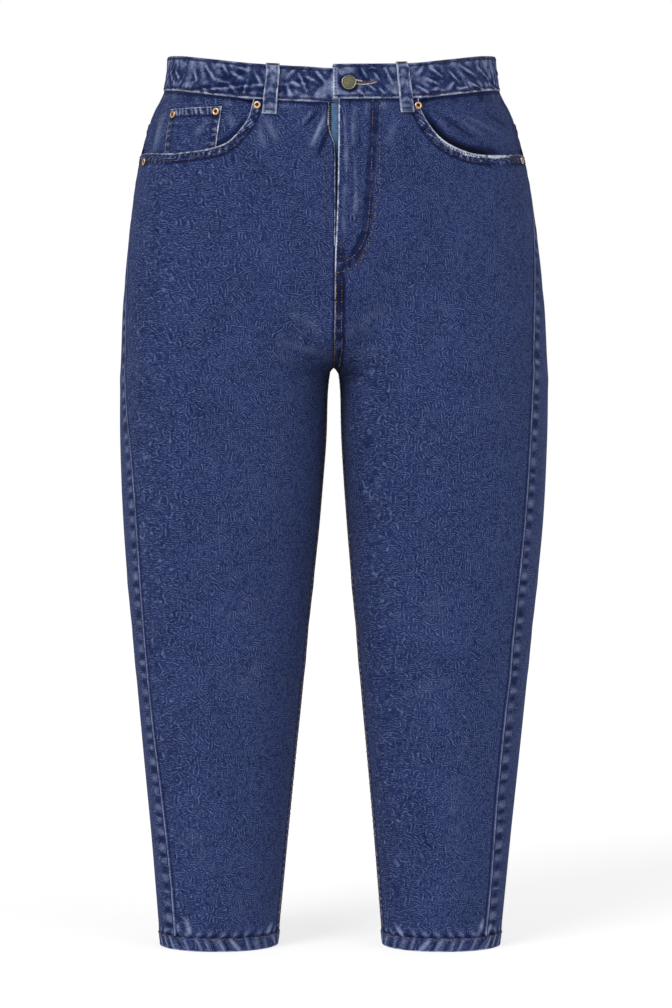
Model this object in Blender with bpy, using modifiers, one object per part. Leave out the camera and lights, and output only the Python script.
"""Straight jeans in washed denim, filled out as if worn, with no wearer inside.

Units are metres. +Z is up, the front faces -Y and the wearer's left is at +X.
The origin is the middle of the waist, where a wearer holds the garment up.
Each half of the garment is one surface, found from a turn around the leg and
a height: turn 0 is the middle front or inseam, 180 the side, 360 the back.
"""
import math
from collections import namedtuple

import bmesh
import bpy
from mathutils import Vector

# Cloth thicknesses and the gaps between sewn pieces
DENIM = 0.0013
SEAM_GAP = 0.0003
LAY_GAP = 0.0006
BAND_OUT = 0.0015
BAND_THICK = 0.0028
HEM_OUT = 0.0006
HEM_THICK = 0.0026

# Heights that drive the cut
BAND_HEIGHT = 0.038
CROTCH = -0.326
RISE_CURVE = 0.115
RISE_NARROW = 2
FRONT_RISE_EARLY = 0.34
BACK_RISE_EARLY = 0.80
HEM_TOP = -0.9575
HEM_LOW = -0.9722

# Near the crotch the hip ring's turns draw closer to the middle line, as the
# leg's do; this fades out over the spread height
CROTCH_SPREAD = 1.7
SPREAD_HEIGHT = 0.20

# How square the rings are: 1 is an ellipse, less is fuller at the corners
LEG_ROUND = 0.93

# The hip ring: half width, how far front and back stand from the side, how
# far the middle line leans, and how square the ring is
HipRow = namedtuple("HipRow", "height outer front back middle round")
HIP_ROWS = [
    HipRow(-0.326, 0.2386, 0.1290, 0.146, 0.0035, 0.75),
    HipRow(-0.252, 0.2346, 0.1340, 0.158, 0.0030, 0.79),
    HipRow(-0.140, 0.2223, 0.1390, 0.164, 0.0020, 0.87),
    HipRow(-0.095, 0.2139, 0.1385, 0.155, 0.0015, 0.88),
    HipRow(-0.050, 0.2005, 0.1350, 0.146, 0.0012, 0.88),
    HipRow(-0.020, 0.1864, 0.1310, 0.139, 0.0010, 0.88),
    HipRow(0.030, 0.1806, 0.1270, 0.133, 0.0006, 0.88),
]

# The leg ring: outer and inner edge from the middle, front and back depth,
# and how square its inner side is
LegRow = namedtuple("LegRow", "height outer inner front back middle inner_round")
LEG_ROWS = [
    LegRow(-0.972, 0.1901, 0.0585, 0.056, 0.062, -0.0010, 0.94),
    LegRow(-0.857, 0.2005, 0.0482, 0.069, 0.074, 0.0000, 0.93),
    LegRow(-0.767, 0.2094, 0.0398, 0.081, 0.083, 0.0005, 0.92),
    LegRow(-0.678, 0.2178, 0.0314, 0.093, 0.090, 0.0010, 0.90),
    LegRow(-0.588, 0.2268, 0.0230, 0.102, 0.099, 0.0015, 0.87),
    LegRow(-0.498, 0.2346, 0.0146, 0.112, 0.114, 0.0025, 0.82),
    LegRow(-0.409, 0.2386, 0.0084, 0.121, 0.128, 0.0030, 0.74),
    LegRow(-0.345, 0.2392, 0.0064, 0.1246, 0.1353, 0.0035, 0.67),
    LegRow(-0.332, 0.2388, 0.0050, 0.1249, 0.1359, 0.0035, 0.66),
    LegRow(-0.326, 0.2386, 0.0001, 0.1250, 0.1360, 0.0035, 0.66),
]

# Height of the waistband's top edge around one half
WaistRow = namedtuple("WaistRow", "turn height")
WAIST_LINE = [
    WaistRow(0.0, -0.0102),
    WaistRow(47.0, -0.0076),
    WaistRow(80.0, -0.0006),
    WaistRow(126.0, 0.0098),
    WaistRow(180.0, 0.0180),
    WaistRow(270.0, 0.0245),
    WaistRow(360.0, 0.0265),
]
UNDERLAP_DROP = 0.0035

# Where the outseam runs around the wearer's right leg (-1) and left leg (1)
SeamRow = namedtuple("SeamRow", "height right left")
OUTSEAM = [
    SeamRow(-0.972, 133.0, 133.5),
    SeamRow(-0.900, 134.5, 135.5),
    SeamRow(-0.800, 139.0, 134.4),
    SeamRow(-0.690, 144.4, 136.3),
    SeamRow(-0.500, 145.0, 139.5),
    SeamRow(-0.430, 148.0, 141.0),
    SeamRow(-0.354, 155.5, 143.0),
    SeamRow(-0.267, 159.5, 148.5),
    SeamRow(-0.200, 162.0, 152.5),
    SeamRow(-0.150, 165.0, 159.5),
    SeamRow(-0.090, 165.5, 163.0),
    SeamRow(0.030, 168.0, 167.0),
]
INSEAM_TURN = 8.0
INSEAM_EASE = 0.035

# Soft folds in the cloth: a ridge has a depth above 0, a trough below
Fold = namedtuple("Fold", "side turn height length width depth lean")
FOLDS = [
    Fold(-1, 16, -0.105, 0.030, 0.012, 0.0018, 50),
    Fold(-1, 40, -0.190, 0.060, 0.020, -0.0016, 62),
    Fold(1, 38, -0.250, 0.060, 0.020, -0.0018, -60),
    Fold(-1, 36, -0.285, 0.055, 0.018, 0.0022, 66),
    Fold(1, 52, -0.300, 0.060, 0.020, 0.0022, -66),
    Fold(-1, 78, -0.430, 0.110, 0.030, -0.0022, 8),
    Fold(1, 84, -0.470, 0.110, 0.030, -0.0022, -8),
    Fold(-1, 60, -0.640, 0.060, 0.022, 0.0024, 64),
    Fold(1, 112, -0.650, 0.060, 0.022, 0.0024, -62),
    Fold(-1, 110, -0.790, 0.110, 0.026, -0.0020, 6),
    Fold(1, 66, -0.800, 0.110, 0.026, -0.0020, -6),
    Fold(-1, 250, -0.610, 0.060, 0.022, 0.0034, 66),
    Fold(1, 246, -0.630, 0.060, 0.022, 0.0034, -66),
    Fold(-1, 290, -0.660, 0.060, 0.022, -0.0030, -60),
    Fold(1, 286, -0.590, 0.060, 0.022, -0.0030, 60),
    Fold(-1, 310, -0.350, 0.080, 0.024, 0.0034, -52),
    Fold(1, 306, -0.360, 0.080, 0.024, 0.0034, 52),
    Fold(-1, 250, -0.880, 0.100, 0.026, -0.0020, 4),
    Fold(1, 262, -0.870, 0.100, 0.026, -0.0020, -4),
]
METRES_PER_TURN = 0.0019

# The pocket mouths: distance from the middle line and height, waist to side
EdgePoint = namedtuple("EdgePoint", "across height")
POCKET_MOUTH = {
    -1: [
        EdgePoint(0.0835, -0.0462), EdgePoint(0.0855, -0.0545),
        EdgePoint(0.0901, -0.0684), EdgePoint(0.1010, -0.0829),
        EdgePoint(0.1116, -0.0923), EdgePoint(0.1238, -0.0970),
        EdgePoint(0.1423, -0.0997), EdgePoint(0.1739, -0.1004),
        EdgePoint(0.2108, -0.0935),
    ],
    1: [
        EdgePoint(0.0925, -0.0453), EdgePoint(0.0943, -0.0558),
        EdgePoint(0.1045, -0.0761), EdgePoint(0.1170, -0.0899),
        EdgePoint(0.1313, -0.0979), EdgePoint(0.1490, -0.1031),
        EdgePoint(0.1722, -0.1034), EdgePoint(0.2105, -0.0948),
    ],
}

# Fly: how far each front's edge stands from the middle, and where that ends
FLY_EDGE = {-1: 0.0026, 1: 0.0066}
FLY_STRAIGHT = -0.150
FLY_END = -0.182

# A row's heights at its inner end, at the outseam and at the back, and a
# place along the pocket mouth
SideRow = namedtuple("SideRow", "front outer back")
MouthSpot = namedtuple("MouthSpot", "share across height")

# Grid sizes: rows down and columns round
FAN_ROWS = 10
FAN_END = -0.135
BACK_START = -0.130
UPPER_ROWS = 3
FRONT_COLUMNS = 16
BACK_COLUMNS = 17
CROTCH_STEPS = (1.0, 0.8, 0.6, 0.42, 0.25, 0.1, 0.0)
LEG_STEPS = (0.003, 0.008, 0.020, 0.045, 0.085)
LEG_CELLS = 9
HEM_COLUMNS = 32

# Yoke: heights of its lower seam at the side and at the middle back
YOKE_SIDE_HEIGHT = -0.058
YOKE_BACK_HEIGHT = -0.092
YOKE_ROWS = 2

# Pocket facings behind the mouths
FACING_TUCK = 9.0
FACING_LOW = -0.124
FACING_ROWS = (0.0, 0.09, 0.3, 0.5, 0.7, 0.85, 1.0)
FACING_COLUMNS = 9
FACING_DEPTH = {-1: 0.0045, 1: 0.0046}
FACING_EDGE = 0.0030
FACING_THICK = 0.0011

# Coin pocket, as turns and heights of its corners
CoinShape = namedtuple("CoinShape", "inner_turn outer_turn inner_turn_low outer_turn_low "
                       "inner_top outer_top low")
COIN = CoinShape(66.9, 121.5, 66.0, 113.5, -0.0525, -0.0486, -0.107)
COIN_ROWS = 5
COIN_COLUMNS = 6
COIN_DEPTH = 0.0029
COIN_THICK = 0.0009

# Back patch pocket: its edges' distance from the middle line, and heights
PatchShape = namedtuple("PatchShape", "inner outer taper top tilt corner tip")
PATCH = PatchShape(0.050, 0.177, 0.006, -0.099, 0.005, -0.222, 0.018)
PATCH_GAP = 0.0010
PATCH_ROWS = 10
PATCH_COLUMNS = 10

# Waistband
BAND_START = 0.0011
BAND_COLUMNS = 30
UNDERLAP_TURN = 14.0
UNDERLAP_END = 0.042
UNDERLAP_COLUMNS = 4
BAND_EDGE_ROWS = [(0.0, 0.0008), (0.07, 0.0), (0.93, 0.0), (1.0, 0.0008)]

# Belt loops: share of the way up the band, metres beyond it, and standing out
LoopStep = namedtuple("LoopStep", "share beyond out")
LOOP_PATH = [
    LoopStep(0.0, -0.0155, 0.0008),
    LoopStep(0.0, -0.0060, 0.0009),
    LoopStep(0.0, 0.0000, 0.0030),
    LoopStep(0.2, 0.0000, 0.0046),
    LoopStep(0.5, 0.0000, 0.0051),
    LoopStep(0.8, 0.0000, 0.0046),
    LoopStep(1.0, -0.0015, 0.0028),
    LoopStep(1.0, 0.0010, 0.0021),
]
LOOP_WIDTH = 0.0155
LOOP_THICK = 0.0018
LOOP_COLUMNS = 2
LoopPlace = namedtuple("LoopPlace", "side top_turn low_turn metres_per_turn lift")
LOOPS = {
    "belt_loop_front_left": LoopPlace(1, 42.3, 40.6, 0.0018, 0.0),
    "belt_loop_front_right": LoopPlace(-1, 33.2, 32.4, 0.0018, 0.0),
    "belt_loop_back_left": LoopPlace(1, 262.0, 262.0, 0.00135, 0.0006),
    "belt_loop_back_right": LoopPlace(-1, 262.0, 262.0, 0.00135, 0.0006),
    "belt_loop_back_middle": LoopPlace(1, 360.0, 360.0, 0.0024, 0.0),
}

# Metal: profiles as radius and height above the cloth
RIVET_PROFILE = [(0.0, 0.0), (0.0046, 0.0), (0.0048, 0.0007), (0.0038, 0.0013),
                 (0.0024, 0.0009), (0.0014, 0.0005), (0.0, 0.0005)]
RIVET_STEPS = 14
RivetSpot = namedtuple("RivetSpot", "side turn height offset")
RIVETS = {
    "rivet_waist_right": RivetSpot(-1, 40.6, -0.0539, 0.0004),
    "rivet_waist_left": RivetSpot(1, 49.3, -0.0542, 0.0004),
    "rivet_side_right": RivetSpot(-1, 143.0, -0.1042, 0.0004),
    "rivet_side_left": RivetSpot(1, 147.0, -0.1022, 0.0004),
    "rivet_coin_side": RivetSpot(-1, 115.6, -0.0556, 0.0004 - COIN_DEPTH),
    "rivet_coin_middle": RivetSpot(-1, 70.8, -0.0578, 0.0004 - COIN_DEPTH),
}
BUTTON_PROFILE = [(0.0, 0.0), (0.0060, 0.0), (0.0085, 0.0012), (0.0085, 0.0026),
                  (0.0076, 0.0033), (0.0068, 0.0027), (0.0, 0.0031)]
BUTTON_STEPS = 24
BUTTON_TURN = 7.8
BUTTON_HEIGHT = -0.0303

# Finishes: colour, roughness and metallic value
DENIM_FINISH = ((0.030, 0.046, 0.130), 0.85, 0.0)
TAPE_FINISH = ((0.070, 0.190, 0.330), 0.70, 0.0)
COPPER_FINISH = ((0.430, 0.250, 0.120), 0.38, 1.0)
BRASS_FINISH = ((0.230, 0.210, 0.110), 0.42, 1.0)

LayerShape = namedtuple("LayerShape", "start end low rows columns depth thickness finish")
FLY_SHIELD = LayerShape(-0.012, 0.036, -0.196, 8, 4, 0.0040, 0.0012, DENIM_FINISH)
ZIP_TAPE = LayerShape(-0.009, 0.013, -0.180, 8, 2, 0.0022, 0.0009, TAPE_FINISH)


def value_at(rows, key, name, where):
    """Reads one column of a table at any place, along a smooth curve."""
    spots = [getattr(row, key) for row in rows]
    values = [getattr(row, name) for row in rows]
    order = sorted(range(len(spots)), key=lambda index: spots[index])
    spots = [spots[index] for index in order]
    values = [values[index] for index in order]
    where = min(max(where, spots[0]), spots[-1])
    last = len(spots) - 2
    part = next((i for i in range(last + 1) if where <= spots[i + 1]), last)

    def slope(index):
        low = max(index - 1, 0)
        high = min(index + 1, len(spots) - 1)
        return (values[high] - values[low]) / (spots[high] - spots[low])

    span = spots[part + 1] - spots[part]
    t = (where - spots[part]) / span
    start, end = values[part], values[part + 1]
    lift_start, lift_end = slope(part) * span, slope(part + 1) * span
    return ((2 * t**3 - 3 * t**2 + 1) * start + (t**3 - 2 * t**2 + t) * lift_start
            + (-2 * t**3 + 3 * t**2) * end + (t**3 - t**2) * lift_end)


def mix(low, high, share):
    return low + (high - low) * share


def ease(share):
    """Goes from 0 to 1 with a soft start and end."""
    share = min(max(share, 0.0), 1.0)
    return share * share * (3.0 - 2.0 * share)


def signed_power(value, power):
    return math.copysign(abs(value) ** power, value)


def hip_angle(turn, height):
    """The angle round the hips at a turn, bent near the crotch to suit the leg."""
    power = mix(CROTCH_SPREAD, 1.0, ease((height - CROTCH) / SPREAD_HEIGHT))
    if turn <= 180.0:
        return math.pi / 2 * (max(turn, 0.0) / 180.0) ** power
    return math.pi - math.pi / 2 * (max(360.0 - turn, 0.0) / 180.0) ** power


def hip_ring(turn, height):
    """Half of the ring around both hips, from middle front to middle back."""
    angle = hip_angle(turn, height)
    outer = value_at(HIP_ROWS, "height", "outer", height)
    front = value_at(HIP_ROWS, "height", "front", height)
    back = value_at(HIP_ROWS, "height", "back", height)
    depth = front if math.cos(angle) > 0 else back
    square = value_at(HIP_ROWS, "height", "round", height)
    across = outer * abs(math.sin(angle)) ** square
    return across, -depth * signed_power(math.cos(angle), square)


def leg_ring(turn, height):
    """The ring around one leg; above the crotch it keeps the crotch's depth."""
    angle = math.radians(turn)
    level = min(height, CROTCH)
    outer = value_at(LEG_ROWS, "height", "outer", level)
    inner = value_at(LEG_ROWS, "height", "inner", level)
    front = value_at(LEG_ROWS, "height", "front", level)
    back = value_at(LEG_ROWS, "height", "back", level)
    if height > CROTCH:
        outer = value_at(HIP_ROWS, "height", "outer", height)
        inner = 0.0
    reach = (outer - inner) / 2
    square = LEG_ROUND
    if math.cos(angle) > 0:
        square = value_at(LEG_ROWS, "height", "inner_round", level)
    across = (outer + inner) / 2 - reach * signed_power(math.cos(angle), square)
    depth = (front + back) / 2
    return across, (back - front) / 2 - depth * signed_power(math.sin(angle), square)


def hip_share(turn, height):
    """How far a ring above the crotch has opened from leg ring to hip ring.

    At the middle line it opens at once, which draws the round rise curve.
    Elsewhere it opens slowly, so that thigh and hip are one smooth surface.
    """
    level = min(max((height - CROTCH) / RISE_CURVE, 0.0), 1.0)
    early = FRONT_RISE_EARLY if turn < 180.0 else BACK_RISE_EARLY
    at_middle = math.sin(math.pi / 2 * math.sqrt(min(level / early, 1.0)))
    nearness = max(math.cos(math.radians(turn)), 0.0) ** RISE_NARROW
    return mix(ease(level), at_middle, nearness)


def bare_point(turn, height):
    """A point of the left half, measured from the middle line."""
    share = hip_share(turn, height)
    leg = leg_ring(turn, height)
    if height <= CROTCH:
        return Vector((leg[0], leg[1], height))
    hip = hip_ring(turn, height)
    return Vector((mix(leg[0], hip[0], share), mix(leg[1], hip[1], share), height))


def outward(turn, height):
    """The direction that faces away from the wearer at a point."""
    low, high = turn - 1.5, turn + 1.5
    if height > CROTCH:
        low, high = max(low, 0.0), min(high, 360.0)
    along = bare_point(high, height) - bare_point(low, height)
    upward = bare_point(turn, height + 0.002) - bare_point(turn, height - 0.002)
    return along.cross(upward).normalized()


def fold_height(side, turn, height):
    """How far the soft folds lift or sink the cloth at a point."""
    total = 0.0
    for fold in FOLDS:
        if fold.side != side:
            continue
        across = (turn - fold.turn) * METRES_PER_TURN
        up = height - fold.height
        lean = math.radians(fold.lean)
        along = up * math.cos(lean) + across * math.sin(lean)
        aside = across * math.cos(lean) - up * math.sin(lean)
        total += fold.depth * math.exp(-(along / fold.length) ** 2 - (aside / fold.width) ** 2)
    return total


def middle_at(height):
    """The middle line leans a little to one side, as the photo shows."""
    if height > CROTCH:
        return value_at(HIP_ROWS, "height", "middle", height)
    return value_at(LEG_ROWS, "height", "middle", height)


def point(side, turn, height, offset=0.0):
    """A point on the cloth of one side, moved outward by the offset."""
    spot = bare_point(turn, height)
    spot += outward(turn, height) * (offset + fold_height(side, turn, height))
    return Vector((side * (spot.x + SEAM_GAP / 2) + middle_at(height), spot.y, spot.z))


def turn_at(across, height, back=False):
    """The turn at which the front, or the back, lies this far from the middle."""
    low, high = (360.0, 180.0) if back else (0.0, 180.0)
    for _ in range(40):
        half = (low + high) / 2
        if bare_point(half, height).x < across:
            low = half
        else:
            high = half
    return (low + high) / 2


def waist_top(side, turn):
    """Height of the waistband's top edge; the underlap's side sits lower."""
    height = value_at(WAIST_LINE, "turn", "height", turn)
    if side < 0:
        height -= UNDERLAP_DROP * (1 - ease(turn / 60.0))
    return height


def waist_seam(side, turn):
    return waist_top(side, turn) - BAND_HEIGHT


def outseam_turn(side, height):
    return value_at(OUTSEAM, "height", "left" if side > 0 else "right", height)


def inseam_turn(height):
    return INSEAM_TURN * ease((CROTCH - height) / INSEAM_EASE)


def half_gap_turn(turn, height):
    """Half of a seam's gap, as a turn."""
    step = (bare_point(turn + 1.0, height) - bare_point(turn - 1.0, height)).length / 2
    return SEAM_GAP / 2 / step


def front_edge_turn(side, height):
    """The front panel's inner edge: the fly's edge, the middle, the inseam."""
    if height < CROTCH:
        turn = inseam_turn(height)
        return turn + half_gap_turn(turn, height)
    if height < FLY_END:
        return 0.0
    share = 1 - ease((FLY_STRAIGHT - height) / (FLY_STRAIGHT - FLY_END))
    return turn_at(max(FLY_EDGE[side] * share - SEAM_GAP / 2, 0.0), height)


def back_edge_turn(height):
    """The back panel's inner edge: the middle, then the inseam."""
    if height >= CROTCH:
        return 360.0
    turn = inseam_turn(height)
    return 360.0 + turn - half_gap_turn(turn, height)


def mouth_point(side, share):
    """A point of the pocket mouth, from the waist seam at 0 to the side at 1."""
    rows = POCKET_MOUTH[side]
    places = [bare_point(turn_at(row.across, row.height), row.height) for row in rows]
    lengths = [0.0]
    for before, after in zip(places, places[1:]):
        lengths.append(lengths[-1] + (after - before).length)
    spots = [MouthSpot(length / lengths[-1], row.across, row.height)
             for length, row in zip(lengths, rows)]
    across = value_at(spots, "share", "across", share)
    height = value_at(spots, "share", "height", share)
    return turn_at(across, height), height


def row_between(start, end, columns, height_at):
    """One grid row: turns from start to end, each with its height."""
    turns = [mix(start, end, column / columns) for column in range(columns + 1)]
    return [(turn, height_at(turn, index / columns)) for index, turn in enumerate(turns)]


def side_rows(side):
    """Row heights that front and back share down the outseam, as named pairs."""
    curve_top = CROTCH + RISE_CURVE
    mouth_end = mouth_point(side, 1.0)[1]
    rows = []
    for index in range(1, UPPER_ROWS + 1):
        share = index / (UPPER_ROWS + 1)
        rows.append(SideRow(mix(FAN_END, curve_top, share), mix(mouth_end, curve_top, share),
                            mix(BACK_START, curve_top, share)))
    leg_top = CROTCH - LEG_STEPS[-1]
    bottom = HEM_TOP + SEAM_GAP
    level = [CROTCH + RISE_CURVE * step * step for step in CROTCH_STEPS]
    level += [CROTCH - step for step in LEG_STEPS]
    level += [mix(leg_top, bottom, i / LEG_CELLS) for i in range(1, LEG_CELLS + 1)]
    return rows + [SideRow(height, height, height) for height in level]


def front_grid(side):
    """Turn and height of each point of a front panel, row by row."""
    grid = []
    inner_top = waist_seam(side, 0) - SEAM_GAP
    for index in range(FAN_ROWS + 1):
        share = index / FAN_ROWS
        turn_out, height_out = mouth_point(side, share)
        if index == FAN_ROWS:
            turn_out = outseam_turn(side, height_out) - half_gap_turn(turn_out, height_out)
        inner_height = mix(inner_top, FAN_END, share)
        inner_drop = waist_seam(side, 0) - inner_height
        outer_drop = max(waist_seam(side, turn_out) - height_out, SEAM_GAP)
        grid.append(row_between(
            front_edge_turn(side, inner_height), turn_out, FRONT_COLUMNS,
            lambda turn, along: waist_seam(side, turn) - mix(inner_drop, outer_drop, along)))
    for row in side_rows(side):
        seam = outseam_turn(side, row.outer)
        grid.append(row_between(
            front_edge_turn(side, row.front), seam - half_gap_turn(seam, row.outer),
            FRONT_COLUMNS, lambda turn, along: mix(row.front, row.outer, ease(along))))
    return grid


def yoke_seam(side, turn):
    """Height of the seam between yoke and back panel, lowest at the middle."""
    seam = outseam_turn(side, YOKE_SIDE_HEIGHT)
    share = (turn - seam) / (360.0 - seam)
    return mix(YOKE_SIDE_HEIGHT, YOKE_BACK_HEIGHT, share)


def yoke_grid(side):
    grid = []
    for index in range(YOKE_ROWS + 1):
        share = index / YOKE_ROWS
        seam = outseam_turn(side, mix(waist_seam(side, 180), YOKE_SIDE_HEIGHT, share))
        grid.append(row_between(
            seam + half_gap_turn(seam, YOKE_SIDE_HEIGHT), 360.0, BACK_COLUMNS,
            lambda turn, along: mix(waist_seam(side, turn) - SEAM_GAP,
                                    yoke_seam(side, turn) + SEAM_GAP / 2, share)))
    return grid


def back_grid(side):
    grid = []
    mouth_end = mouth_point(side, 1.0)[1]
    for share in (0.0, 0.5, 1.0):
        seam = outseam_turn(side, mix(YOKE_SIDE_HEIGHT, mouth_end, share))
        grid.append(row_between(
            seam + half_gap_turn(seam, mouth_end), 360.0, BACK_COLUMNS,
            lambda turn, along: mix(yoke_seam(side, turn) - SEAM_GAP / 2,
                                    mix(mouth_end, BACK_START, along), share)))
    for row in side_rows(side):
        seam = outseam_turn(side, row.outer)
        grid.append(row_between(
            seam + half_gap_turn(seam, row.outer), back_edge_turn(row.back), BACK_COLUMNS,
            lambda turn, along: mix(row.outer, row.back, ease(along))))
    return grid


def new_material(name, colour, roughness, metallic):
    material = bpy.data.materials.new(name)
    material.use_nodes = True
    shader = material.node_tree.nodes["Principled BSDF"]
    shader.inputs["Base Color"].default_value = (*colour, 1.0)
    shader.inputs["Roughness"].default_value = roughness
    shader.inputs["Metallic"].default_value = metallic
    return material


def new_object(name, mesh, finish):
    """Names a mesh, gives it its own material and puts it in the garment."""
    item = bpy.data.objects.new(name, mesh)
    mesh.name = name
    mesh.materials.append(new_material(name, *finish))
    garment.objects.link(item)
    item.parent = waist_hold
    return item


def wall_from_rows(name, outer, inner, finish, closed=False):
    """Lofts an outer and an inner grid of points into one closed wall."""
    shape = bmesh.new()
    layers = [[[shape.verts.new(spot) for spot in row] for row in rows]
              for rows in (outer, inner)]
    rows, columns = len(outer), len(outer[0])
    cells = columns if closed else columns - 1
    for row in range(rows - 1):
        for column in range(cells):
            after = (column + 1) % columns
            for layer in layers:
                shape.faces.new((layer[row][column], layer[row][after],
                                 layer[row + 1][after], layer[row + 1][column]))
    for row in (0, rows - 1):
        for column in range(cells):
            after = (column + 1) % columns
            shape.faces.new((layers[0][row][column], layers[0][row][after],
                             layers[1][row][after], layers[1][row][column]))
    if not closed:
        for column in (0, columns - 1):
            for row in range(rows - 1):
                shape.faces.new((layers[0][row][column], layers[0][row + 1][column],
                                 layers[1][row + 1][column], layers[1][row][column]))
    bmesh.ops.recalc_face_normals(shape, faces=shape.faces)
    mesh = bpy.data.meshes.new(name)
    shape.to_mesh(mesh)
    shape.free()
    return new_object(name, mesh, finish)


def cloth_wall(name, side, grid, out, thickness, finish, closed=False):
    """A wall of cloth on a grid of turns and heights; out is its outer face."""
    lift = out if callable(out) else (lambda row, column: out)
    outer = [[point(side, turn, height, lift(r, c)) for c, (turn, height) in enumerate(row)]
             for r, row in enumerate(grid)]
    inner = [[point(side, turn, height, lift(r, c) - thickness)
              for c, (turn, height) in enumerate(row)] for r, row in enumerate(grid)]
    return wall_from_rows(name, outer, inner, finish, closed)


def side_word(side):
    return "left" if side > 0 else "right"


def make_panels(side):
    word = side_word(side)
    cloth_wall("front_panel_" + word, side, front_grid(side), 0.0, DENIM, DENIM_FINISH)
    cloth_wall("back_panel_" + word, side, back_grid(side), 0.0, DENIM, DENIM_FINISH)
    cloth_wall("yoke_" + word, side, yoke_grid(side), 0.0, DENIM, DENIM_FINISH)


def make_hem(side):
    """The turned-up hem is three layers thick, so it is a ring of its own."""
    grid = [[(360.0 * i / HEM_COLUMNS, height) for i in range(HEM_COLUMNS)]
            for height in (HEM_TOP, mix(HEM_TOP, HEM_LOW, 0.5), HEM_LOW)]
    cloth_wall("hem_" + side_word(side), side, grid, HEM_OUT, HEM_THICK, DENIM_FINISH, True)


def make_pocket_facing(side):
    """The denim that shows in the pocket mouth, sewn in at waist and side."""
    start = mouth_point(side, 0.0)[0] - FACING_TUCK
    mouth_start = mouth_point(side, 0.0)[0]
    mouth_end = mouth_point(side, 1.0)[1]
    deep = FACING_DEPTH[side]
    grid = []
    for share in FACING_ROWS:
        seam = outseam_turn(side, mix(waist_seam(side, 170), FACING_LOW, share))
        grid.append(row_between(
            start, seam - half_gap_turn(seam, mouth_end), FACING_COLUMNS,
            lambda turn, along: mix(waist_seam(side, turn) - SEAM_GAP, FACING_LOW, share)))

    def depth(row, column):
        turn, height = grid[row][column]
        if row == 0 and turn > mouth_start + 4:
            return -SEAM_GAP
        if column == FACING_COLUMNS:
            return -mix(FACING_EDGE, SEAM_GAP, ease((height - mouth_end - 0.002) / 0.012))
        return -deep

    cloth_wall("pocket_facing_" + side_word(side), side, grid, depth, FACING_THICK,
               DENIM_FINISH)


def make_coin_pocket():
    """The small fifth pocket on the wearer's right facing."""
    grid = []
    for row in range(COIN_ROWS + 1):
        down = row / COIN_ROWS
        line = []
        for column in range(COIN_COLUMNS + 1):
            along = column / COIN_COLUMNS
            turn = mix(mix(COIN.inner_turn, COIN.inner_turn_low, down),
                       mix(COIN.outer_turn, COIN.outer_turn_low, down), along)
            top = mix(COIN.inner_top, COIN.outer_top, along)
            line.append((turn, mix(top, COIN.low, down)))
        grid.append(line)
    cloth_wall("coin_pocket", -1, grid, -COIN_DEPTH, COIN_THICK, DENIM_FINISH)


def make_back_pocket(side):
    """A plain patch pocket with a shallow point, on the back panel."""
    grid = []
    for row in range(PATCH_ROWS + 1):
        down = row / PATCH_ROWS
        line = []
        for column in range(PATCH_COLUMNS + 1):
            along = column / PATCH_COLUMNS
            inner = PATCH.inner + PATCH.taper * down
            outer = PATCH.outer - PATCH.taper * down
            low = PATCH.corner - PATCH.tip * (1 - abs(2 * along - 1))
            height = mix(mix(PATCH.top - PATCH.tilt, PATCH.top, along), low, down)
            start = turn_at(inner, height, back=True)
            end = turn_at(outer, height, back=True)
            line.append((mix(start, end, along), height))
        grid.append(line)
    cloth_wall("back_pocket_" + side_word(side), side, grid, PATCH_GAP + DENIM, DENIM,
               DENIM_FINISH)


def across_point(across, height, offset):
    """A point of the front, measured left or right from the middle line."""
    side = 1 if across >= 0 else -1
    return point(side, turn_at(abs(across), height), height, offset)


def make_fly_layers():
    """The fly shield and the zip tape that show where the fly pulls open."""
    for name, layer in (("fly_shield", FLY_SHIELD), ("zip_tape", ZIP_TAPE)):
        top = waist_seam(-1, 0) - 2 * SEAM_GAP
        heights = [mix(top, layer.low, i / layer.rows) for i in range(layer.rows + 1)]
        spots = [mix(layer.start, layer.end, i / layer.columns)
                 for i in range(layer.columns + 1)]
        outer = [[across_point(x, z, -layer.depth) for x in spots] for z in heights]
        inner = [[across_point(x, z, -layer.depth - layer.thickness) for x in spots]
                 for z in heights]
        wall_from_rows(name, outer, inner, layer.finish)


def band_stations():
    """Stations round the waist from the top end to the end of the underlap."""
    stations = []
    start = turn_at(BAND_START, 0.0)
    for index in range(BAND_COLUMNS + 1):
        stations.append((1, mix(start, 360.0, index / BAND_COLUMNS), 0.0))
    for index in range(1, BAND_COLUMNS + 1):
        turn = mix(360.0, 0.0, index / BAND_COLUMNS)
        sink = ease((UNDERLAP_TURN - turn) / (UNDERLAP_TURN - 1.0))
        stations.append((-1, turn, sink))
    end = turn_at(UNDERLAP_END, 0.0)
    for index in range(1, UNDERLAP_COLUMNS + 1):
        stations.append((1, mix(0.0, end, index / UNDERLAP_COLUMNS), 1.0))
    return stations


def make_waistband():
    """One strip round the waist; its end passes under its start as underlap."""
    outer, inner = [], []
    low_middle = waist_top(-1, 0.0)
    stations = band_stations()
    for share, rounding in BAND_EDGE_ROWS:
        outer_row, inner_row = [], []
        for index, (side, turn, sink) in enumerate(stations):
            under = index > 2 * BAND_COLUMNS
            top = low_middle if under else waist_top(side, turn)
            height = top - BAND_HEIGHT * share
            lift = BAND_OUT - sink * (BAND_THICK + LAY_GAP)
            outer_row.append(point(side, turn, height, lift - rounding))
            inner_row.append(point(side, turn, height, lift - BAND_THICK + rounding / 2))
        outer.append(outer_row)
        inner.append(inner_row)
    wall_from_rows("waistband", outer, inner, DENIM_FINISH)


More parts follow.
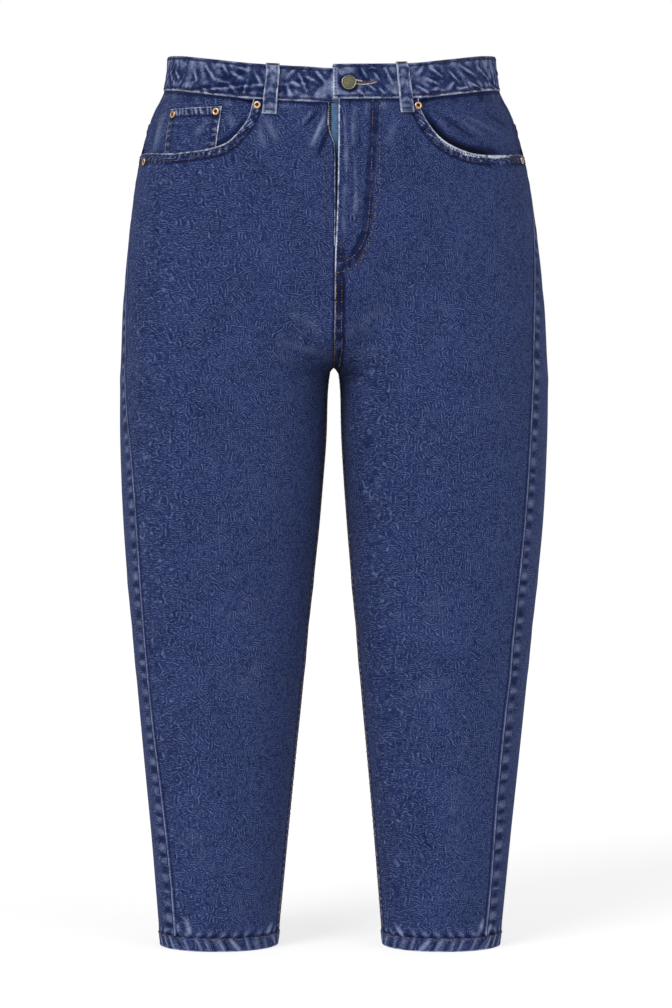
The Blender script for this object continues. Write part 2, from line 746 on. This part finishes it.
def make_belt_loop(name, place):
    """A strip from below the waist seam, out over the band, to its top edge."""
    outer, inner = [], []
    for step in LOOP_PATH:
        outer_row, inner_row = [], []
        for column in range(LOOP_COLUMNS + 1):
            aside = (column / LOOP_COLUMNS - 0.5) * LOOP_WIDTH
            turn_top = place.top_turn + aside / place.metres_per_turn
            turn_low = place.low_turn + aside / place.metres_per_turn
            top = waist_top(place.side, turn_top)
            seam = waist_seam(place.side, turn_low)
            turn = mix(turn_low, turn_top, step.share)
            height = mix(seam, top, step.share) + step.beyond
            out = step.out + place.lift
            spot = point(place.side, min(turn, 360.0), height, out)
            away = point(place.side, min(turn, 360.0), height, out + LOOP_THICK)
            if turn > 360.0:
                extra = (turn - 360.0) * place.metres_per_turn * place.side
                spot.x -= extra
                away.x -= extra
            outer_row.append(away)
            inner_row.append(spot)
        outer.append(outer_row)
        inner.append(inner_row)
    wall_from_rows(name, outer, inner, DENIM_FINISH)


def make_turned(name, profile, steps, side, turn, height, offset, finish):
    """A round metal piece: a profile of (radius, out) spun by a Screw modifier."""
    mesh = bpy.data.meshes.new(name)
    spots = [(radius, 0.0, out) for radius, out in profile]
    mesh.from_pydata(spots, [(i, i + 1) for i in range(len(spots) - 1)], [])
    item = new_object(name, mesh, finish)
    spin = item.modifiers.new("spin", "SCREW")
    spin.axis = "Z"
    spin.steps = steps
    spin.render_steps = steps
    spin.use_merge_vertices = True
    spin.merge_threshold = 0.00002
    spin.use_normal_flip = True
    facing = outward(turn, height)
    facing.x *= side
    item.location = point(side, turn, height, offset)
    item.rotation_mode = "QUATERNION"
    item.rotation_quaternion = facing.to_track_quat("Z", "Y")
    return item


def make_metal():
    for name, spot in RIVETS.items():
        make_turned(name, RIVET_PROFILE, RIVET_STEPS, spot.side, spot.turn, spot.height,
                    spot.offset, COPPER_FINISH)
    make_turned("waist_button", BUTTON_PROFILE, BUTTON_STEPS, 1, BUTTON_TURN, BUTTON_HEIGHT,
                BAND_OUT + LAY_GAP, BRASS_FINISH)


def clear_scene():
    for item in list(bpy.data.objects):
        bpy.data.objects.remove(item, do_unlink=True)


def make_jeans():
    for side in (-1, 1):
        make_panels(side)
        make_hem(side)
        make_pocket_facing(side)
        make_back_pocket(side)
    make_coin_pocket()
    make_fly_layers()
    make_waistband()
    for name, place in LOOPS.items():
        make_belt_loop(name, place)
    make_metal()
    bpy.context.view_layer.update()


clear_scene()
garment = bpy.data.collections.new("straight_jeans")
bpy.context.scene.collection.children.link(garment)
waist_hold = bpy.data.objects.new("waist_hold", None)
garment.objects.link(waist_hold)
make_jeans()
